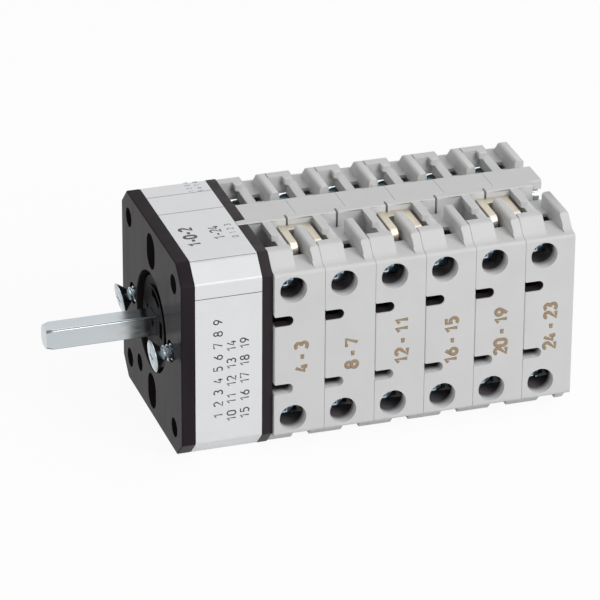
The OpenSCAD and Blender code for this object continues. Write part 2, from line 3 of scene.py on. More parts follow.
import bmesh
import bpy
from bpy.props import FloatProperty, FloatVectorProperty, PointerProperty
from mathutils import Matrix, Vector
from mathutils.geometry import intersect_point_line


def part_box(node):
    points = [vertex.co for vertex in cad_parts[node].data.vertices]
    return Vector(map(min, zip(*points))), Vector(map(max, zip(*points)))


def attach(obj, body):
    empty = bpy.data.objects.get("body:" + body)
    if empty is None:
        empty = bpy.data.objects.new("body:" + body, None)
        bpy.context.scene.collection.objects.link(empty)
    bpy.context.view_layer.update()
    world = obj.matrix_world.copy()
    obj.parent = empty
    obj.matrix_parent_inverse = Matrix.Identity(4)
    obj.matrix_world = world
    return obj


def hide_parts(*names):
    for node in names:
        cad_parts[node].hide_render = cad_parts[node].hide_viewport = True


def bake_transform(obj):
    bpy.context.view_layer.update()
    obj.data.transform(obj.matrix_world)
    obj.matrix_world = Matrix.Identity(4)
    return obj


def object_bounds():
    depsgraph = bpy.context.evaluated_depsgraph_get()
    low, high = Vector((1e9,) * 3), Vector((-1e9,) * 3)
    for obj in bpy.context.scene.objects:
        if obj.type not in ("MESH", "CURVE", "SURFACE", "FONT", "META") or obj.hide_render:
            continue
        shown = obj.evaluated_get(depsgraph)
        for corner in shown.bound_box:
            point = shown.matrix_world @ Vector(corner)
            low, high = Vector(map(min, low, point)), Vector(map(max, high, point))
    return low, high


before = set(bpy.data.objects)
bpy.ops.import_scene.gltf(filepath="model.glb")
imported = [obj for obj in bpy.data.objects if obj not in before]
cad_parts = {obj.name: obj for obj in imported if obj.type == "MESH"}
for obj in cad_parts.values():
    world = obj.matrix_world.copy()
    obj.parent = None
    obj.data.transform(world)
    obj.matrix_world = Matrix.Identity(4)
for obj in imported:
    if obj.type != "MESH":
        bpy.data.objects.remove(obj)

bl_info = {
    "name": "Cam switch",
    "version": (1, 0, 0),
    "blender": (4, 5, 0),
    "location": "View3D > Sidebar > Cam switch",
    "description": "Dresses the packed cam switch: decks, front plate, label, screws, links and stage",
    "category": "Object",
}

MM = 0.001
DECKS = 6
SIDES = ("near", "far")
CAD_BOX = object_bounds()

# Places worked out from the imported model. A plunger starts a little behind its deck's front edge.
PLUNGER_BEHIND = 1.8 * MM
DECK_FRONTS = [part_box(f"plunger_near_{i}")[0].x - PLUNGER_BEHIND for i in range(1, DECKS + 1)]
DECK_PITCH = DECK_FRONTS[1] - DECK_FRONTS[0]
DECK_NEAR_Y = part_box("deck_1")[0].y
DECK_HALF = -DECK_NEAR_Y
LABEL_LOW, LABEL_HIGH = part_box("label_band")
SCREW_HEAD_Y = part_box("terminal_screws")[1].y

# The side screws hang loose in their holes: how far out and how long they are, the place that they
# droop about, the fronts of their heads and the degrees that they droop
SIDE_SCREW_Y = 15.3 * MM
SIDE_SCREW_L = 10 * MM
SIDE_SCREW_PIVOT_X = 2 * MM
SIDE_SCREW_FRONTS = {"near": -4.3 * MM, "far": -3.3 * MM}
SIDE_SCREW_DROOP = {"near": 6, "far": 11}

# A deck's screws, holes, slots and rooms, with X from its front edge and depths from its numbered face; the
# holes, slots and rooms also mark the faces that get painted light and shade
TERMINAL_X = 4.5 * MM
TERMINAL_Z = 16 * MM
TERMINAL_TIP_Y = 10.5 * MM
ACCESS_R = 3.15 * MM
SLOT_END_X = 4.6 * MM
SLOT_Z = 8.5 * MM
SLOT_HALF = 1.25 * MM
OUTER_DEPTH = 0.3 * MM
STEP_DEPTH = 2 * MM
WALL_DEPTH = 3.2 * MM
ROOM_DEPTH = 20 * MM
ROOM_START_X = 0.1 * MM
ROOM_END_X = 10.2 * MM
ROOM_Z = 19.3 * MM

# Print: how far each deck's number hangs below the middle, the label's lines as (x, z, words) or
# (x, y, height, stroke, words) in mm, and its rules
NUMBER_DROPS = [v * MM for v in (0.9, 1.8, 0.4, 2.2, 1.7, 2.1)]
LABEL_NEAR_LINES = ((8.5, -1.6, "1 2 3 4 5 6 7 8 9"), (11.6, -5, "10 11 12 13 14"),
                    (14.7, -4.7, "15 16 17 18 19"))
LABEL_TOP_LINES = ((6.9, -8, 3.4, 0.75, "1-0-2"), (13.2, -7.5, 2.8, 0.45, "1-24"),
                   (16.7, -7.5, 1.6, 0.2, "0 1 2 3"), (14, 17.3, 1.2, 0.15, "1 2 3 4"),
                   (16.2, 17, 1.2, 0.15, "5 6 7 8"))
LABEL_TOP_RULES = (14.2 * MM, 4.9 * MM, LABEL_LOW.y + 3.9 * MM)
LABEL_NEAR_RULE = 16.25 * MM
RULE_WIDTH = 0.16 * MM

# Mesh making: the slack in a test of place, the welding distance, what counts as flat, smooth or
# sharp, and how many radii long an edge has to be before it is rounded
SLACK = 0.05 * MM
WELD = 0.002 * MM
FLAT = math.radians(0.5)
SMOOTH_BELOW = math.radians(35)
SHARP_ABOVE = math.radians(28)
ROUNDED_LENGTH = 2.2

# The part of a noise pattern's range that holds nearly all its values
PATTERN_LOW, PATTERN_HIGH = 0.3, 0.7

# The floor: its paper's grey, how much it glows where it is open, half the width of the shade under the
# part, and how far inside the shade's edge its fading starts and ends
PAPER = 0.82
GLOW_SHARE = 0.93
SHADE_HALF = 13 * MM
SHADE_FADE = (4 * MM, 1 * MM)

# The lights, in metres: where each stands, how wide it is, and the point that both face
KEY_PLACE = (0.75, -1.35, 0.95)
KEY_WIDTH = 0.9
TOP_PLACE = (0.35, 0.1, 1.5)
TOP_WIDTH = 1.0
LIGHT_AIM = (0.03, 0, 0)


def srgb(red, green, blue):
    """Linear colour of an 8-bit screen colour."""
    def linear(value):
        value /= 255
        return value / 12.92 if value <= 0.04045 else ((value + 0.055) / 1.055) ** 2.4
    return linear(red), linear(green), linear(blue)


def colour(name, default, words):
    """A colour that a user would change."""
    return FloatVectorProperty(name=name, description=words, default=default, subtype="COLOR",
                               size=3, min=0, max=1)


def length(name, default, words):
    """A size that a user would change, given in mm."""
    return FloatProperty(name=name, description=words, default=default * MM, unit="LENGTH", min=0)


class SwitchSizes(bpy.types.PropertyGroup):
    """Sizes of the finishing detail"""
    moulding_edge: length("Moulding edge", 0.32, "Rounding of the edges of the grey mouldings")
    plate_edge: length("Plate edge", 0.35, "Rounding of the edges of the black mouldings")
    metal_edge: length("Metal edge", 0.08, "Rounding of stamped and turned edges")
    number_height: length("Number height", 3.55, "Height of the terminal numbers")
    number_centre: length("Number centre", 6.4, "Distance of the numbers from a deck's front edge")
    label_bend: length("Label bend", 0.45, "Outer radius of the label's bends")
    print_thickness: length("Print thickness", 0.02, "Thickness of printed marks")
    number_stroke: length("Number stroke", 0.84, "Width of the strokes of the terminal numbers")
    label_height: length("Label height", 2.3, "Height of the numbers on the label's near face")
    label_stroke: length("Label stroke", 0.32, "Width of the strokes of those numbers")
    shaft_tip_radius: length("Shaft tip radius", 2.75, "Where the cuts that trim the shaft's corners start")
    thread_pitch: length("Thread pitch", 0.85, "Pitch of the side screws' thread")


class SwitchColours(bpy.types.PropertyGroup):
    """Colours of the finishes"""
    grey_moulding: colour("Grey moulding", srgb(205, 205, 205), "Decks")
    # Painted light and shade in the decks' holes and slots: a lighter rim at their mouths, then darker
    # colours further in for the upper holes, the lower holes and slots, and the upper slots
    recess_rim_painted_light: colour("Recess rim", srgb(232, 232, 233), "Mouths of the decks' holes and slots")
    upper_recess_painted_shade: colour("Upper recess", srgb(150, 143, 147), "Inside of the decks' upper holes")
    lower_recess_painted_shade: colour("Lower recess", srgb(118, 111, 115), "Inside of the decks' lower holes and slots")
    upper_slot_painted_shade: colour("Upper slot", srgb(58, 52, 54), "Walls of the decks' upper slots")
    black_moulding: colour("Black moulding", srgb(42, 37, 40), "Plate and housing")
    plate_gloss: colour("Plate gloss", srgb(255, 240, 247), "Tint of the plate's gloss")
    flange_moulding: colour("Flange moulding", srgb(37, 31, 34), "Flange between housing and decks")
    hub_moulding: colour("Hub moulding", srgb(24, 21, 24), "Hub behind the plate's opening")
    label_film: colour("Label film", srgb(223, 224, 226), "Label on the housing")
    print_ink: colour("Print ink", srgb(66, 58, 59), "Print on the label")
    number_ink: colour("Number ink", srgb(156, 134, 107), "Terminal numbers")
    zinc: colour("Zinc", srgb(196, 206, 212), "Shaft and tie rods")
    screw_zinc: colour("Screw zinc", srgb(184, 195, 200), "Side screws")
    zinc_tint: colour("Zinc tint", srgb(200, 201, 200), "Neutral patches of the shaft's plating")
    # Painted shade: a darker zinc for the shaft's diagonal faces
    zinc_edge_painted_shade: colour("Zinc edge", srgb(128, 136, 139), "Long edges of the shaft")
    blue_zinc: colour("Blue zinc", srgb(182, 206, 218), "Terminal screws")
    clamp_zinc: colour("Clamp zinc", srgb(148, 184, 197), "Clamps under the terminal screws")
    pale_brass: colour("Pale brass", srgb(216, 208, 192), "Links")
    brass: colour("Brass", srgb(176, 152, 110), "Contact strips and inserts")
    copper: colour("Copper", srgb(214, 150, 105), "Moving bridges")
    spring_steel: colour("Spring steel", srgb(190, 190, 190), "Springs")
    nylon: colour("Nylon", srgb(224, 218, 200), "Cams, star wheel and detent plungers")
    dark_moulding: colour("Dark moulding", srgb(70, 70, 74), "Contact plungers")


class SwitchStage(bpy.types.PropertyGroup):
    """Camera and light"""
    camera_distance: FloatProperty(name="Camera distance", default=1.006, unit="LENGTH",
                                   description="Distance of the camera from its aim")
    camera_azimuth: FloatProperty(name="Camera azimuth", default=math.radians(-18.10), unit="ROTATION",
                                  description="Turn of the camera about Z from looking along Y")
    camera_height: FloatProperty(name="Camera elevation", default=math.radians(26.56), unit="ROTATION",
                                 description="Angle of the camera above the horizon")
    camera_roll: FloatProperty(name="Camera roll", default=math.radians(0.375), unit="ROTATION",
                               description="Turn of the camera about its own axis")
    camera_aim: FloatVectorProperty(name="Camera aim", default=(0.03544, 0, 0.00022), subtype="XYZ",
                                    unit="LENGTH", description="Point that the camera looks at")
    camera_lens: FloatProperty(name="Camera lens", default=263.48, unit="CAMERA",
                               description="Focal length in mm with a sensor 36 mm wide")
    key_power: FloatProperty(name="Key power", default=17.5, unit="POWER",
                             description="Power of the light at the right")
    top_power: FloatProperty(name="Top power", default=3.4, unit="POWER",
                             description="Power of the overhead light")
    world_level: FloatProperty(name="World level", default=0.45, subtype="FACTOR", min=0, max=1,
                               description="Strength of the even light from all round")


def sizes():
    return bpy.context.scene.switch_sizes


def colours():
    return bpy.context.scene.switch_colours


# Meshes

def new_piece(name, bm, finish, body="frame", replaces=()):
    """An object from a bmesh, with its finishes, the nodes it stands for, and body if it rides on one."""
    mesh = bpy.data.meshes.new(name)
    bm.to_mesh(mesh)
    bm.free()
    for material in finish if isinstance(finish, tuple) else (finish,):
        mesh.materials.append(material)
    mesh.polygons.foreach_set("use_smooth", [True] * len(mesh.polygons))
    mesh.set_sharp_from_angle(angle=SMOOTH_BELOW)
    piece = bpy.data.objects.new(name, mesh)
    bpy.context.scene.collection.objects.link(piece)
    flat_shading = piece.modifiers.new("flat_shading", "WEIGHTED_NORMAL")
    flat_shading.keep_sharp = True
    flat_shading.weight = 80
    if body:
        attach(piece, body)
    if replaces:
        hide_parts(*replaces)
    return piece


def cad_copy(node):
    """A welded copy of a node's mesh, with its flat faces joined up."""
    bm = bmesh.new()
    bm.from_mesh(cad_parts[node].data)
    bmesh.ops.remove_doubles(bm, verts=bm.verts, dist=WELD)
    bmesh.ops.dissolve_limit(bm, angle_limit=FLAT, verts=bm.verts, edges=bm.edges)
    return bm


def has_room(edge, reach):
    """Whether no other edge of the faces beside this one comes closer than reach."""
    a, b = (v.co for v in edge.verts)
    for face in edge.link_faces:
        for other in face.edges:
            if set(other.verts) & set(edge.verts):
                continue
            c, d = (v.co for v in other.verts)
            for point, start, end in ((a, c, d), (b, c, d), (c, a, b), (d, a, b)):
                share = intersect_point_line(point, start, end)[1]
                nearest = start.lerp(end, min(1, max(0, share)))
                if (nearest - point).length < reach:
                    return False
    return True


def round_edges(bm, radius, segments=2):
    """Rounds the outer edges that are sharp and have room for the radius."""
    least = ROUNDED_LENGTH * radius
    chosen = [e for e in bm.edges if e.is_manifold and e.calc_face_angle() > SHARP_ABOVE and e.is_convex
              and e.calc_length() > least and has_room(e, radius)]
    bmesh.ops.bevel(bm, geom=chosen, offset=radius, offset_type="OFFSET", segments=segments,
                    profile=0.5, affect="EDGES", clamp_overlap=False, material=-1)
    return bm


def rounded_node(node, radius, finish, body="frame", segments=2):
    """A copy of a node with rounded edges, in its place."""
    bm = round_edges(cad_copy(node), radius, segments)
    return new_piece(f"{node}_dressed", bm, finish, body, [node])


def ring(bm, profile, steps):
    """A closed solid of revolution about X from a list of (place along X, radius)."""
    points = [bm.verts.new((x, radius, 0)) for x, radius in profile]
    edges = [bm.edges.new(pair) for pair in zip(points, points[1:])]
    bmesh.ops.spin(bm, geom=points + edges, cent=(0, 0, 0), axis=(1, 0, 0), angle=math.tau,
                   steps=steps, use_merge=True)
    bmesh.ops.remove_doubles(bm, verts=bm.verts, dist=WELD / 4)
    return bm


def outward(bm):
    """Turns every face of a closed mesh outwards."""
    bmesh.ops.recalc_face_normals(bm, faces=bm.faces)
    return bm


def add_copies(target, source, places):
    """Adds a moved copy of source at each place, and frees source."""
    mesh = bpy.data.meshes.new("copy")
    for place in places:
        source.to_mesh(mesh)
        mesh.transform(place)
        target.from_mesh(mesh)
    bpy.data.meshes.remove(mesh)
    source.free()


def cross_outline(reach, half):
    """Corner points of a cross in the YZ plane."""
    corners = [(reach, half), (half, half), (half, reach)]
    points = []
    for quarter in range(4):
        turn = Matrix.Rotation(quarter * math.pi / 2, 2)
        points += [tuple(turn @ Vector(corner)) for corner in corners]
    return points


def recessed_head(bm, radius, front_x, reach, half, depth, sides=32, dish=0.0):
    """Front of a screw head with a cross recess, facing -X, and hollowed by dish towards the cross."""
    rim = [bm.verts.new((front_x, radius * math.cos(a), radius * math.sin(a)))
           for a in (math.tau * i / sides for i in range(sides))]
    rim_edges = [bm.edges.new((rim[i], rim[(i + 1) % sides])) for i in range(sides)]
    mouth = [bm.verts.new((front_x + dish, y, z)) for y, z in cross_outline(reach, half)]
    mouth_edges = [bm.edges.new((mouth[i], mouth[(i + 1) % len(mouth)])) for i in range(len(mouth))]
    bmesh.ops.bridge_loops(bm, edges=rim_edges + mouth_edges)
    lower = bmesh.ops.extrude_edge_only(bm, edges=mouth_edges)["geom"]
    floor = [v for v in lower if isinstance(v, bmesh.types.BMVert)]
    bmesh.ops.scale(bm, vec=(1, 0.6, 0.6), verts=floor)
    bmesh.ops.translate(bm, vec=(depth, 0, 0), verts=floor)
    bmesh.ops.contextual_create(bm, geom=[e for e in lower if isinstance(e, bmesh.types.BMEdge)])


# Finishes

class Finish:
    """A node material with a Principled shader and patterns on object coordinates."""

    def __init__(self, name, base, roughness, metallic=0.0):
        self.material = bpy.data.materials.new(name)
        self.material.use_nodes = True
        self.tree = self.material.node_tree
        self.tree.nodes.clear()
        self.shader = self.node("ShaderNodeBsdfPrincipled")
        output = self.node("ShaderNodeOutputMaterial")
        self.link(self.shader.outputs["BSDF"], output.inputs["Surface"])
        self.coordinates = self.node("ShaderNodeTexCoord").outputs["Object"]
        self.shader.inputs["Base Color"].default_value = (*base, 1)
        self.shader.inputs["Roughness"].default_value = roughness
        self.shader.inputs["Metallic"].default_value = metallic
        self.base = base

    def node(self, kind, **values):
        node = self.tree.nodes.new(kind)
        for key, value in values.items():
            setattr(node, key, value)
        return node

    def link(self, start, end):
        self.tree.links.new(start, end)

    def noise(self, size_mm, detail=3.0, stretch=(1, 1, 1)):
        """Noise whose features are about size_mm across, longer where stretch is above 1."""
        mapping = self.node("ShaderNodeMapping")
        mapping.inputs["Scale"].default_value = [1 / s for s in stretch]
        self.link(self.coordinates, mapping.inputs["Vector"])
        noise = self.node("ShaderNodeTexNoise")
        noise.inputs["Scale"].default_value = 1 / (size_mm * MM)
        noise.inputs["Detail"].default_value = detail
        self.link(mapping.outputs["Vector"], noise.inputs["Vector"])
        return noise.outputs["Fac"]

    def spread(self, value, low, high, start=PATTERN_LOW, end=PATTERN_HIGH):
        """Maps a pattern's range onto low to high."""
        node = self.node("ShaderNodeMapRange")
        for key, number in (("From Min", start), ("From Max", end), ("To Min", low), ("To Max", high)):
            node.inputs[key].default_value = number
        self.link(value, node.inputs["Value"])
        return node.outputs["Result"]

    def vary_colour(self, pattern, darker, lighter, tint=None):
        """Shades from a darker base colour to a lighter one, or to a lighter tint."""
        ramp = self.node("ShaderNodeValToRGB")
        low, high = ramp.color_ramp.elements
        low.position, high.position = PATTERN_LOW, PATTERN_HIGH
        low.color = (*[min(1, c * darker) for c in self.base], 1)
        high.color = (*[min(1, c * lighter) for c in tint or self.base], 1)
        self.link(pattern, ramp.inputs["Fac"])
        self.link(ramp.outputs["Color"], self.shader.inputs["Base Color"])

    def paint_shade_inwards(self, half, start, end, painted_shade_colour):
        """Paints shade: fades the base colour to a darker colour between two depths from the faces at Y
        plus and minus half.
        """
        parts = self.node("ShaderNodeSeparateXYZ")
        self.link(self.coordinates, parts.inputs["Vector"])
        across = self.node("ShaderNodeMath", operation="ABSOLUTE")
        self.link(parts.outputs["Y"], across.inputs[0])
        depth = self.spread(across.outputs["Value"], 1, 0, half - end, half - start)
        ramp = self.node("ShaderNodeValToRGB")
        ramp.color_ramp.interpolation = "EASE"
        ramp.color_ramp.elements[0].color = (*self.base, 1)
        ramp.color_ramp.elements[1].color = (*painted_shade_colour, 1)
        self.link(depth, ramp.inputs["Fac"])
        self.link(ramp.outputs["Color"], self.shader.inputs["Base Color"])

    def vary_roughness(self, pattern, low, high):
        self.link(self.spread(pattern, low, high), self.shader.inputs["Roughness"])

    def bump(self, pattern, depth_mm, strength=1.0):
        bump = self.node("ShaderNodeBump")
        bump.inputs["Distance"].default_value = depth_mm * MM
        bump.inputs["Strength"].default_value = strength
        self.link(pattern, bump.inputs["Height"])
        self.link(bump.outputs["Normal"], self.shader.inputs["Normal"])


def once(build):
    """Keeps one material for each finish."""
    kept = {}

    def finish():
        if build.__name__ not in kept:
            kept[build.__name__] = build().material
        return kept[build.__name__]
    return finish


@once
def grey_moulding():
    finish = Finish("grey_moulding", colours().grey_moulding, 0.55)
    finish.shader.inputs["Specular IOR Level"].default_value = 0.35
    finish.vary_colour(finish.noise(9, 2), 0.975, 1.015)
    finish.vary_roughness(finish.noise(2.5), 0.5, 0.62)
    finish.bump(finish.noise(0.22, 2), 0.012, 0.6)
    return finish


def recess_painted_light_and_shade(name, start, end, painted_shade_colour):
    """The decks' plastic inside holes and slots: a painted lighter rim that fades to painted shade between
    two depths.
    """
    finish = Finish(name, colours().recess_rim_painted_light, 0.6)
    finish.shader.inputs["Specular IOR Level"].default_value = 0.1
    finish.paint_shade_inwards(DECK_HALF, start * MM, end * MM, painted_shade_colour)
    return finish


# Painted light and shade inside the lower holes and slots, the upper holes and the upper slots
@once
def lower_painted_shade():
    return recess_painted_light_and_shade("lower_painted_shade", 0.8, 3.2, colours().lower_recess_painted_shade)


@once
def upper_painted_shade():
    return recess_painted_light_and_shade("upper_painted_shade", 0.8, 3.2, colours().upper_recess_painted_shade)


@once
def slot_painted_shade():
    return recess_painted_light_and_shade("slot_painted_shade", 0, 0.5, colours().upper_slot_painted_shade)


@once
def black_moulding():
    finish = Finish("black_moulding", colours().black_moulding, 0.22)
    finish.shader.inputs["Specular IOR Level"].default_value = 0.02
    finish.shader.inputs["Specular Tint"].default_value = (*colours().plate_gloss, 1)
    finish.vary_colour(finish.noise(5, 3, (1, 1, 5)), 0.88, 1.16)
    finish.vary_roughness(finish.noise(4, 2, (1, 1, 5)), 0.18, 0.27)
    finish.bump(finish.noise(0.5, 2), 0.002, 0.4)
    return finish


@once
def flange_moulding():
    finish = Finish("flange_moulding", colours().flange_moulding, 0.5)
    finish.shader.inputs["Specular IOR Level"].default_value = 0.2
    finish.vary_colour(finish.noise(6, 2), 0.9, 1.1)
    finish.vary_roughness(finish.noise(3, 2), 0.45, 0.6)
    finish.bump(finish.noise(0.3, 2), 0.006, 0.5)
    return finish


@once
def hub_moulding():
    finish = Finish("hub_moulding", colours().hub_moulding, 0.4)
    finish.shader.inputs["Specular IOR Level"].default_value = 0.02
    finish.vary_colour(finish.noise(5, 2), 0.85, 1.15)
    finish.vary_roughness(finish.noise(4, 2), 0.35, 0.45)
    finish.bump(finish.noise(0.5, 2), 0.002, 0.4)
    return finish


@once
def label_film():
    finish = Finish("label_film", colours().label_film, 0.22)
    finish.vary_colour(finish.noise(5, 2), 0.985, 1.01)
    finish.vary_roughness(finish.noise(4), 0.18, 0.28)
    finish.bump(finish.noise(1.2, 2), 0.004, 0.4)
    return finish


@once
def print_ink():
    finish = Finish("print_ink", colours().print_ink, 0.5)
    finish.vary_colour(finish.noise(0.3, 2), 0.85, 1.25)
    return finish


@once
def number_ink():
    finish = Finish("number_ink", colours().number_ink, 0.6)
    finish.vary_colour(finish.noise(0.35, 3), 0.82, 1.14)
    return finish


def plated(name, base, rough, mottle, grain_stretch=(1, 1, 1), tint=None):
    """Plated metal with cloudy mottling or a second tint, fine grain and a slightly uneven polish."""
    finish = Finish(name, base, sum(rough) / 2, 1.0)
    finish.vary_colour(finish.noise(4, 3, grain_stretch), mottle, 1.03, tint)
    finish.vary_roughness(finish.noise(1.8, 3, grain_stretch), *rough)
    finish.bump(finish.noise(0.3, 3), 0.002, 0.6)
    return finish


@once
def zinc_shaft():
    return plated("zinc_shaft", colours().zinc, (0.14, 0.24), 0.93, (5, 1, 1), colours().zinc_tint)


# A darker, rougher copy of the shaft's zinc; its darker colour is painted shade on the diagonal faces
@once
def zinc_edge_painted_shade():
    return plated("zinc_edge_painted_shade", colours().zinc_edge_painted_shade, (0.3, 0.5), 0.6, (3, 1, 1))


@once
def zinc_screw():
    return plated("zinc_screw", colours().screw_zinc, (0.14, 0.26), 0.8)


@once
def blue_zinc():
    return plated("blue_zinc", colours().blue_zinc, (0.24, 0.42), 0.85)


@once
def clamp_zinc():
    return plated("clamp_zinc", colours().clamp_zinc, (0.24, 0.42), 0.82)


@once
def pale_brass():
    return plated("pale_brass", colours().pale_brass, (0.36, 0.5), 0.93)


@once
def brass():
    return plated("brass", colours().brass, (0.25, 0.4), 0.88)


@once
def copper():
    return plated("copper", colours().copper, (0.25, 0.4), 0.88)


@once
def spring_steel():
    return plated("spring_steel", colours().spring_steel, (0.2, 0.35), 0.9)


@once
def nylon():
    finish = Finish("nylon", colours().nylon, 0.45)
    finish.shader.inputs["Subsurface Weight"].default_value = 0.15
    finish.shader.inputs["Subsurface Scale"].default_value = 0.6 * MM
    finish.vary_colour(finish.noise(3, 2), 0.97, 1.02)
    finish.vary_roughness(finish.noise(1.5), 0.4, 0.52)
    return finish


@once
def dark_moulding():
    finish = Finish("dark_moulding", colours().dark_moulding, 0.5)
    finish.vary_colour(finish.noise(3, 2), 0.9, 1.1)
    finish.bump(finish.noise(0.3, 2), 0.006, 0.5)
    return finish


# Operators

class SWITCH_OT_decks(bpy.types.Operator):
    """Rounds the edges of the six grey decks and paints light and shade into their holes and slots"""
    bl_idname = "switch.decks"
    bl_label = "Decks"

    def execute(self, context):
        for i, front in enumerate(DECK_FRONTS):
            bm = round_edges(cad_copy(f"deck_{i + 1}"), sizes().moulding_edge)
            for face in bm.faces:
                face.material_index = self.shade(face, front)
            new_piece(f"deck_{i + 1}_dressed", bm,
                      (grey_moulding(), lower_painted_shade(), upper_painted_shade(), slot_painted_shade()),
                      replaces=[f"deck_{i + 1}"])
        return {"FINISHED"}

    def shade(self, face, front):
        """A face's finish: 0 outside, and painted light and shade at 1 in lower holes and slots, 2 in upper
        holes, 3 in upper slots.
        """
        place = face.calc_center_median()
        depth = DECK_HALF - abs(place.y)
        faces_out = abs(face.normal.y) > 0.9 and depth < STEP_DEPTH
        if depth < OUTER_DEPTH or depth > ROOM_DEPTH or faces_out:
            return 0
        along, level = place.x - front, abs(place.z)
        side = 1 if place.z < 0 else 2
        if depth < WALL_DEPTH:
            if along < SLOT_END_X and abs(level - SLOT_Z) < SLOT_HALF + SLACK:
                return 1 if place.z < 0 else 3
            from_hole = math.hypot(along - TERMINAL_X, level - TERMINAL_Z)
            return side if from_hole < ACCESS_R + SLACK else 0
        highest = max(abs(v.co.z) for v in face.verts)
        return side if highest < ROOM_Z and ROOM_START_X < along < ROOM_END_X else 0


class SWITCH_OT_front(bpy.types.Operator):
    """Rounds the edges of the plate, the housing, the flange and the hub, and adds the hub's ring"""
    bl_idname = "switch.front"
    bl_label = "Front mouldings"

    def execute(self, context):
        edge = sizes().plate_edge
        rounded_node("front_plate", edge, black_moulding(), segments=3)
        rounded_node("indexing_housing", edge * 0.5, black_moulding())
        rounded_node("rear_flange", edge * 0.5, flange_moulding())
        rounded_node("rotor_hub", edge * 0.4, hub_moulding(), "rotor")
        self.hub_ring()
        return {"FINISHED"}

    def hub_ring(self):
        """Step round the hub's raised face."""
        front, back, inner, outer, round_off = (v * MM for v in (1.05, 2.15, 8.55, 10.75, 0.25))
        bm = ring(bmesh.new(), [(back, inner), (front, inner), (front, outer - round_off),
                                (front + round_off * 0.3, outer - round_off * 0.3),
                                (front + round_off, outer), (back, outer), (back, inner)], 72)
        new_piece("hub_ring", outward(bm), hub_moulding(), "rotor")


def bow(x, y, reach_x, reach_y, start, end, steps=12):
    """Points along part of an ellipse."""
    angles = (math.radians(start + (end - start) * i / steps) for i in range(steps + 1))
    return [(x + reach_x * math.cos(a), y + reach_y * math.sin(a)) for a in angles]


# Plain digits one high: how wide they are, how much of its own width a stroke climbs, and their strokes
DIGIT_WIDTH = 0.54
CLIMB = 0.2
DIGITS = {
    "0": [bow(0.27, 0.7, 0.27, 0.3, 0, 180) + bow(0.27, 0.3, 0.27, 0.3, 180, 360) + [(0.54, 0.7)]],
    "1": [[(0.08, 0.74), (0.36, 1), (0.36, 0)]],
    "2": [bow(0.26, 0.73, 0.25, 0.27, 165, -38) + [(0.01, 0), (0.54, 0)]],
    "3": [bow(0.24, 0.75, 0.24, 0.25, 150, -90), bow(0.24, 0.26, 0.28, 0.26, 90, -150)],
    "4": [[(0.3, 1), (0, 0.26), (0.54, 0.26)], [(0.4, 0.52), (0.4, 0)]],
    "5": [[(0.5, 1), (0.08, 1), (0.05, 0.55)] + bow(0.25, 0.32, 0.27, 0.32, 115, -140)],
    "6": [[(0.4, 1), (0.06, 0.46)] + bow(0.27, 0.29, 0.26, 0.29, 145, 505, 20)],
    "7": [[(0, 0.86), (0, 1), (0.54, 1), (0.2, 0)]],
    "8": [bow(0.27, 0.75, 0.22, 0.25, 0, 360, 20), bow(0.27, 0.26, 0.27, 0.26, 0, 360, 20)],
    "9": [[(0.14, 0), (0.48, 0.54)] + bow(0.27, 0.71, 0.26, 0.29, -35, 325, 20)],
    "-": [[(0.08, 0.42), (0.46, 0.42)]],
}


def print_text(words, height, stroke, finish, name, place, step=0.74, dash_gap=0.0, wide=1.0):
    """Printed digits of a given height, centred on place, which maps X and Y of the print.

    Each stroke climbs a little and starts above the last, so that none lies in another's face.
    """
    curve = bpy.data.curves.new(name, "CURVE")
    curve.dimensions = "3D"
    curve.bevel_depth = stroke / 2
    curve.bevel_resolution = 1
    curve.use_fill_caps = True
    rise = height - stroke
    along = -((len(words) - 1) * step + DIGIT_WIDTH * wide + 2 * dash_gap * words.count("-")) / 2
    for letter in words:
        gap = dash_gap if letter == "-" else 0
        along += gap
        for order, points in enumerate(DIGITS.get(letter, [])):
            spline = curve.splines.new("POLY")
            last = len(points) - 1
            spline.points.add(last)
            for i, (x, y) in enumerate(points):
                lift = (2 * order + i / last) * CLIMB * stroke
                spline.points[i].co = ((along + x * wide) * rise, (y - 0.5) * rise, lift, 1)
        along += step + gap
    source = bpy.data.objects.new(name, curve)
    bpy.context.scene.collection.objects.link(source)
    solid = source.evaluated_get(bpy.context.evaluated_depsgraph_get())
    mesh = bpy.data.meshes.new_from_object(solid)
    bpy.data.objects.remove(source)
    mesh.transform(place @ Matrix.Diagonal((1, 1, sizes().print_thickness / stroke, 1)))
    mesh.materials.clear()
    mesh.materials.append(finish)
    piece = bpy.data.objects.new(name, mesh)
    bpy.context.scene.collection.objects.link(piece)
    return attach(piece, "frame")


# Text that reads upwards on the near face, and text that reads along Y on the top face
ON_NEAR_FACE = Matrix(((0, -1, 0, 0), (0, 0, -1, 0), (1, 0, 0, 0), (0, 0, 0, 1)))
ON_TOP_FACE = Matrix(((0, -1, 0, 0), (1, 0, 0, 0), (0, 0, 1, 0), (0, 0, 0, 1)))


class SWITCH_OT_numbers(bpy.types.Operator):
    """Prints the terminal numbers on the near face of each deck"""
    bl_idname = "switch.numbers"
    bl_label = "Terminal numbers"

    def execute(self, context):
        for i, front in enumerate(DECK_FRONTS):
            words = f"{4 * i + 4}-{4 * i + 3}"
            place = (front + sizes().number_centre, DECK_NEAR_Y, -NUMBER_DROPS[i])
            piece = print_text(words, sizes().number_height, sizes().number_stroke, number_ink(),
                               f"terminal_numbers_{i + 1}", Matrix.Translation(place) @ ON_NEAR_FACE,
                               step=0.78, dash_gap=0.27, wide=1.08)
        return {"FINISHED"}


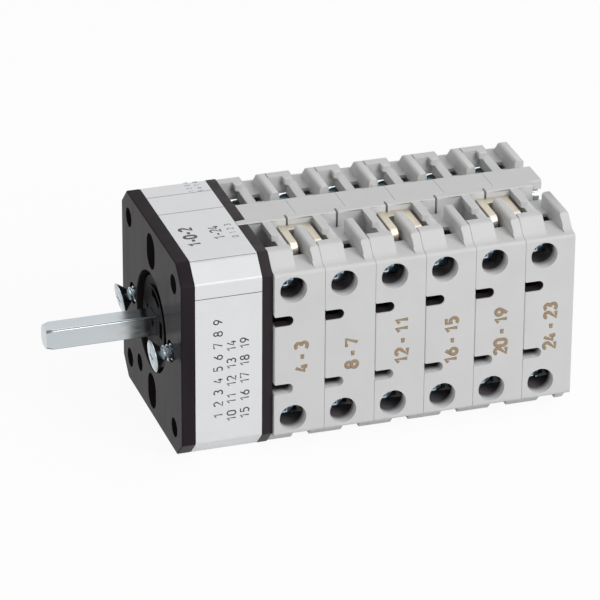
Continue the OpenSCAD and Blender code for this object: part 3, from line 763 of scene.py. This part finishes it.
class SWITCH_OT_label(bpy.types.Operator):
    """Dresses the label and prints its rules and plain numbers"""
    bl_idname = "switch.label"
    bl_label = "Label"

    def execute(self, context):
        rounded_node("label_band", sizes().label_bend, label_film(), segments=4)
        self.rules()
        for i, (x, z, words) in enumerate(LABEL_NEAR_LINES):
            place = Matrix.Translation((x * MM, LABEL_LOW.y, z * MM)) @ ON_NEAR_FACE
            print_text(words, sizes().label_height, sizes().label_stroke, print_ink(),
                               f"label_numbers_near_{i + 1}", place)
        for i, (x, y, height, stroke, words) in enumerate(LABEL_TOP_LINES):
            place = Matrix.Translation((x * MM, y * MM, LABEL_HIGH.z)) @ ON_TOP_FACE
            print_text(words, height * MM, stroke * MM, print_ink(),
                               f"label_numbers_top_{i + 1}", place)
        return {"FINISHED"}

    def rules(self):
        """Thin rules across the label, two on top and one at each side of the near chamfer."""
        bm = bmesh.new()
        half, proud = RULE_WIDTH / 2, sizes().print_thickness / 2
        for y in LABEL_TOP_RULES:
            self.bar(bm, (y - half, LABEL_HIGH.z - proud), (y + half, LABEL_HIGH.z + proud))
        self.bar(bm, (LABEL_LOW.y - proud, LABEL_NEAR_RULE - half),
                 (LABEL_LOW.y + proud, LABEL_NEAR_RULE + half))
        new_piece("label_rules", bm, print_ink())

    def bar(self, bm, low, high):
        """A thin bar along the whole label between two corners in Y and Z."""
        start, end = Vector((LABEL_LOW.x, *low)), Vector((LABEL_HIGH.x, *high))
        place = Matrix.Translation((start + end) / 2) @ Matrix.Diagonal((*(end - start), 1))
        bmesh.ops.create_cube(bm, size=1, matrix=place)


class SWITCH_OT_shaft(bpy.types.Operator):
    """Trims the corners of the square shaft's tip, rounds its edges, plates it and paints shade on its
    diagonal faces
    """
    bl_idname = "switch.shaft"
    bl_label = "Shaft"

    def execute(self, context):
        bm = cad_copy("shaft")
        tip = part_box("shaft")[0].x
        slant = math.radians(20)
        for corner in (45, 135, 225, 315):
            for lean in (-15, 0, 15):
                angle = math.radians(corner + lean)
                outwards = Vector((0, math.cos(angle), math.sin(angle)))
                self.cut(bm, Vector((tip, 0, 0)) + outwards * sizes().shaft_tip_radius,
                         outwards * math.cos(slant) - Vector((math.sin(slant), 0, 0)))
        round_edges(bm, sizes().metal_edge)
        # Faces that lean diagonally get the darker copy of the zinc: painted shade
        for face in bm.faces:
            gets_painted_shade = min(abs(face.normal.y), abs(face.normal.z)) > 0.6
            face.material_index = 1 if gets_painted_shade else 0
        new_piece("shaft_dressed", bm, (zinc_shaft(), zinc_edge_painted_shade()), "rotor", ["shaft"])
        return {"FINISHED"}

    def cut(self, bm, place, direction):
        """Cuts off what lies beyond a plane, and closes the cut."""
        geometry = [*bm.verts, *bm.edges, *bm.faces]
        bmesh.ops.bisect_plane(bm, geom=geometry, plane_co=place, plane_no=direction, clear_outer=True,
                               dist=0.001 * MM)
        rim = [e for e in bm.edges if e.is_boundary]
        if rim:
            bmesh.ops.contextual_create(bm, geom=rim)


class SWITCH_OT_side_screws(bpy.types.Operator):
    """Makes the two threaded countersunk screws at the sides of the plate"""
    bl_idname = "switch.side_screws"
    bl_label = "Side screws"

    def execute(self, context):
        bm = bmesh.new()
        for side, sign in (("near", -1), ("far", 1)):
            pivot = Vector((SIDE_SCREW_PIVOT_X, sign * SIDE_SCREW_Y, 0))
            droop = Matrix.Rotation(-math.radians(SIDE_SCREW_DROOP[side]), 4, "Y")
            front = Matrix.Translation((SIDE_SCREW_FRONTS[side] - pivot.x, 0, 0))
            self.add_screw(bm, Matrix.Translation(pivot) @ droop @ front)
        new_piece("side_screws_dressed", bm, zinc_screw(), replaces=["side_screws"])
        return {"FINISHED"}

    def add_screw(self, target, place):
        """A countersunk screw along X with its head's rim at the origin."""
        head, core, tip = 3.7 * MM, 1.5 * MM, SIDE_SCREW_L
        crown_x, crown_r = -0.22 * MM, 2.6 * MM
        bm = bmesh.new()
        recessed_head(bm, crown_r, crown_x, 1.9 * MM, 0.36 * MM, 0.9 * MM)
        ring(bm, [(crown_x, crown_r), (-0.13 * MM, 3.2 * MM), (0, head - 0.12 * MM), (0.08 * MM, head),
                  (0.22 * MM, head), (2.3 * MM, core + 0.15 * MM), (2.45 * MM, core),
                  (tip - 1.6 * MM, core), (tip - 0.2 * MM, 0.4 * MM), (tip, 0)], 32)
        outward(bm)
        add_copies(target, bm, [place])
        self.add_thread(target, place, core)

    def add_thread(self, target, place, core):
        """A pointed ridge wound round the core."""
        pitch = sizes().thread_pitch
        start, root, crest = 2.85 * MM, core - 0.1 * MM, 1.94 * MM
        turns, steps = 6, 24
        bm = bmesh.new()
        ridge = [(-0.42, root), (-0.1, crest), (0.1, crest), (0.42, root)]
        points = [bm.verts.new((start + along * pitch, radius, 0)) for along, radius in ridge]
        face = bm.faces.new(points)
        bmesh.ops.spin(bm, geom=[face], cent=(0, 0, 0), axis=(1, 0, 0), dvec=(pitch / steps, 0, 0),
                       angle=math.tau * turns, steps=steps * turns, use_merge=False)
        outward(bm)
        add_copies(target, bm, [place])


class SWITCH_OT_terminals(bpy.types.Operator):
    """Makes the terminal screws and dresses the clamps, strips and links"""
    bl_idname = "switch.terminals"
    bl_label = "Terminals"

    def execute(self, context):
        self.screws()
        edge = sizes().metal_edge
        rounded_node("saddle_clamps", edge, clamp_zinc())
        rounded_node("fixed_contacts", edge, brass())
        for link in ("link_1_2", "link_3_4", "link_5_6"):
            rounded_node(link, edge * 2, pale_brass())
        return {"FINISHED"}

    def screws(self):
        """One screw along X with its head at the origin, copied to the 24 terminals."""
        head, stem, tall = 2.8 * MM, 1.7 * MM, 2.1 * MM
        crown_r = head - 0.85 * MM
        tip = SCREW_HEAD_Y - TERMINAL_TIP_Y
        bm = bmesh.new()
        recessed_head(bm, crown_r, 0, 1.6 * MM, 0.45 * MM, 1.2 * MM, 24, 0.12 * MM)
        ring(bm, [(0, crown_r), (0.1 * MM, head - 0.45 * MM), (0.32 * MM, head - 0.14 * MM),
                  (0.6 * MM, head), (tall, head), (tall, stem), (tip - 0.3 * MM, stem),
                  (tip, stem * 0.7), (tip, 0)], 24)
        outward(bm)
        places = []
        for front in DECK_FRONTS:
            for sign in (-1, 1):
                turn = Matrix.Rotation(math.radians(90 * -sign), 4, "Z")
                for z in (-TERMINAL_Z, TERMINAL_Z):
                    spot = (front + TERMINAL_X, sign * SCREW_HEAD_Y, z)
                    places.append(Matrix.Translation(spot) @ turn)
        target = bmesh.new()
        add_copies(target, bm, places)
        new_piece("terminal_screws_dressed", target, blue_zinc(),
                  replaces=["terminal_screws"])


class SWITCH_OT_springs(bpy.types.Operator):
    """Cuts each spring out of its node as a piece of its own"""
    bl_idname = "switch.springs"
    bl_label = "Springs"

    def execute(self, context):
        for side in SIDES:
            node = f"detent_spring_{side}"
            low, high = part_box(node)
            self.spring(node, f"{node}_dressed", f"detent_{side}", low.x, high.x)
            for i, front in enumerate(DECK_FRONTS):
                self.spring(f"return_springs_{side}", f"return_spring_{side}_{i + 1}",
                            f"contact_{side}_{i + 1}", front, front + DECK_PITCH)
        return {"FINISHED"}

    def spring(self, node, name, body, low, high):
        """The spring of a node that lies between two places along X."""
        bm = cad_copy(node)
        others = [v for v in bm.verts if not low - SLACK < v.co.x < high + SLACK]
        bmesh.ops.delete(bm, geom=others, context="VERTS")
        piece = new_piece(name, bm, spring_steel(), body=None, replaces=[node])
        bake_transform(piece)


class SWITCH_OT_inner_pieces(bpy.types.Operator):
    """Gives the pieces inside the switch their finishes"""
    bl_idname = "switch.inner_pieces"
    bl_label = "Inner pieces"

    def execute(self, context):
        numbers = range(1, DECKS + 1)
        finishes = {
            nylon(): ["star_wheel", "detent_plunger_near", "detent_plunger_far"]
            + [f"cam_{i}" for i in numbers],
            dark_moulding(): [f"plunger_{side}_{i}" for side in SIDES for i in numbers],
            copper(): [f"bridge_{side}_{i}" for side in SIDES for i in numbers],
            zinc_shaft(): ["tie_rods"],
            brass(): ["tie_rod_inserts"],
        }
        for finish, nodes in finishes.items():
            for node in nodes:
                for material_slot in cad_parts[node].material_slots:
                    material_slot.material = finish
        return {"FINISHED"}


class SWITCH_OT_stage(bpy.types.Operator):
    """Sets the floor, the lights, the world and the camera"""
    bl_idname = "switch.stage"
    bl_label = "Stage"

    def execute(self, context):
        self.floor(CAD_BOX[0].z)
        self.world()
        stage = context.scene.switch_stage
        self.area("key_light", KEY_PLACE, KEY_WIDTH, stage.key_power)
        self.area("top_light", TOP_PLACE, TOP_WIDTH, stage.top_power)
        self.camera(context)
        context.scene.view_settings.view_transform = "Standard"
        return {"FINISHED"}

    def seen_directly(self, tree):
        """1 for rays from the camera, from gloss and through glass, so that all see the pale background."""
        path = tree.nodes.new("ShaderNodeLightPath")
        total = path.outputs["Is Camera Ray"]
        for name in ("Is Glossy Ray", "Is Transmission Ray"):
            node = tree.nodes.new("ShaderNodeMath")
            node.operation = "MAXIMUM"
            tree.links.new(total, node.inputs[0])
            tree.links.new(path.outputs[name], node.inputs[1])
            total = node.outputs["Value"]
        return total

    def away_from_part(self, tree):
        """1 on the open floor and 0 well under the part, where its shade falls."""
        place = tree.nodes.new("ShaderNodeTexCoord")
        parts = tree.nodes.new("ShaderNodeSeparateXYZ")
        tree.links.new(place.outputs["Object"], parts.inputs["Vector"])
        away = tree.nodes.new("ShaderNodeMath")
        away.operation = "MAXIMUM"
        middle = CAD_BOX[1].x / 2
        for i, (axis, centre, half) in enumerate((("X", middle, middle), ("Y", 0, SHADE_HALF))):
            offset = tree.nodes.new("ShaderNodeMath")
            offset.operation = "SUBTRACT"
            offset.inputs[1].default_value = centre
            distance = tree.nodes.new("ShaderNodeMath")
            distance.operation = "ABSOLUTE"
            edge = tree.nodes.new("ShaderNodeMapRange")
            edge.inputs["From Min"].default_value = half - SHADE_FADE[0]
            edge.inputs["From Max"].default_value = half - SHADE_FADE[1]
            tree.links.new(parts.outputs[axis], offset.inputs[0])
            tree.links.new(offset.outputs["Value"], distance.inputs[0])
            tree.links.new(distance.outputs["Value"], edge.inputs["Value"])
            tree.links.new(edge.outputs["Result"], away.inputs[i])
        return away.outputs["Value"]

    def floor(self, height):
        """Pale paper that keeps the part's shadow and reads as white where it is open."""
        bm = bmesh.new()
        bmesh.ops.create_circle(bm, cap_ends=True, segments=64, radius=6,
                                matrix=Matrix.Translation((0, 0, height)))
        mesh = bpy.data.meshes.new("floor")
        bm.to_mesh(mesh)
        bm.free()
        floor = bpy.data.objects.new("floor", mesh)
        bpy.context.scene.collection.objects.link(floor)
        material = bpy.data.materials.new("floor")
        material.use_nodes = True
        tree = material.node_tree
        tree.nodes.clear()
        paper = tree.nodes.new("ShaderNodeBsdfDiffuse")
        paper.inputs["Color"].default_value = (PAPER, PAPER, PAPER, 1)
        glow = tree.nodes.new("ShaderNodeEmission")
        share = tree.nodes.new("ShaderNodeMath")
        share.operation = "MULTIPLY"
        share.inputs[1].default_value = GLOW_SHARE
        open_floor = tree.nodes.new("ShaderNodeMath")
        open_floor.operation = "MULTIPLY"
        tree.links.new(self.seen_directly(tree), open_floor.inputs[0])
        tree.links.new(self.away_from_part(tree), open_floor.inputs[1])
        tree.links.new(open_floor.outputs["Value"], share.inputs[0])
        mix = tree.nodes.new("ShaderNodeMixShader")
        tree.links.new(share.outputs["Value"], mix.inputs["Fac"])
        tree.links.new(paper.outputs["BSDF"], mix.inputs[1])
        tree.links.new(glow.outputs["Emission"], mix.inputs[2])
        output = tree.nodes.new("ShaderNodeOutputMaterial")
        tree.links.new(mix.outputs["Shader"], output.inputs["Surface"])
        mesh.materials.append(material)

    def world(self):
        """Even white light, at full strength where it is seen itself."""
        world = bpy.data.worlds.new("studio")
        world.use_nodes = True
        tree = world.node_tree
        background = tree.nodes["Background"]
        level = bpy.context.scene.switch_stage.world_level
        strength = tree.nodes.new("ShaderNodeMapRange")
        strength.inputs["To Min"].default_value = level
        strength.inputs["To Max"].default_value = 1
        tree.links.new(self.seen_directly(tree), strength.inputs["Value"])
        tree.links.new(strength.outputs["Result"], background.inputs["Strength"])
        background.inputs["Color"].default_value = (1, 1, 1, 1)
        bpy.context.scene.world = world

    def area(self, name, place, size, power):
        """A square soft light that faces the part."""
        light = bpy.data.lights.new(name, "AREA")
        light.shape = "SQUARE"
        light.size = size
        light.energy = power
        lamp = bpy.data.objects.new(name, light)
        bpy.context.scene.collection.objects.link(lamp)
        lamp.location = place
        beam = Vector(LIGHT_AIM) - Vector(place)
        lamp.rotation_euler = beam.to_track_quat("-Z", "Y").to_euler()

    def camera(self, context):
        """The camera at the photograph's viewing angle."""
        stage = context.scene.switch_stage
        azimuth, height, roll = stage.camera_azimuth, stage.camera_height, stage.camera_roll
        back = Vector((math.sin(azimuth) * math.cos(height), -math.cos(azimuth) * math.cos(height),
                       math.sin(height)))
        right = Vector((math.cos(azimuth), math.sin(azimuth), 0))
        up = back.cross(right)
        turned_right = right * math.cos(roll) + up * math.sin(roll)
        turned_up = up * math.cos(roll) - right * math.sin(roll)
        data = bpy.data.cameras.new("camera")
        data.lens = stage.camera_lens
        data.sensor_width = 36
        data.clip_start = 0.05
        data.clip_end = 30
        camera = bpy.data.objects.new("camera", data)
        context.scene.collection.objects.link(camera)
        place = Vector(stage.camera_aim) + back * stage.camera_distance
        axes = Matrix((turned_right, turned_up, back)).transposed().to_4x4()
        camera.matrix_world = Matrix.Translation(place) @ axes
        context.scene.camera = camera


PIECES = (SWITCH_OT_decks, SWITCH_OT_front, SWITCH_OT_numbers, SWITCH_OT_label, SWITCH_OT_shaft,
          SWITCH_OT_side_screws, SWITCH_OT_terminals, SWITCH_OT_springs, SWITCH_OT_inner_pieces,
          SWITCH_OT_stage)


class SWITCH_PT_panel(bpy.types.Panel):
    """Lists the steps that dress the switch"""
    bl_idname = "SWITCH_PT_panel"
    bl_label = "Cam switch"
    bl_space_type = "VIEW_3D"
    bl_region_type = "UI"
    bl_category = "Cam switch"

    def draw(self, context):
        for piece in PIECES:
            self.layout.operator(piece.bl_idname)


GROUPS = {"switch_sizes": SwitchSizes, "switch_colours": SwitchColours, "switch_stage": SwitchStage}
CLASSES = (*GROUPS.values(), *PIECES, SWITCH_PT_panel)


def register():
    for item in CLASSES:
        bpy.utils.register_class(item)
    for name, group in GROUPS.items():
        setattr(bpy.types.Scene, name, PointerProperty(type=group))


def unregister():
    for name in GROUPS:
        delattr(bpy.types.Scene, name)
    for item in reversed(CLASSES):
        bpy.utils.unregister_class(item)


def main():
    register()
    for piece in PIECES:
        group, step = piece.bl_idname.split(".")
        getattr(getattr(bpy.ops, group), step)()


if __name__ == "__main__":
    main()
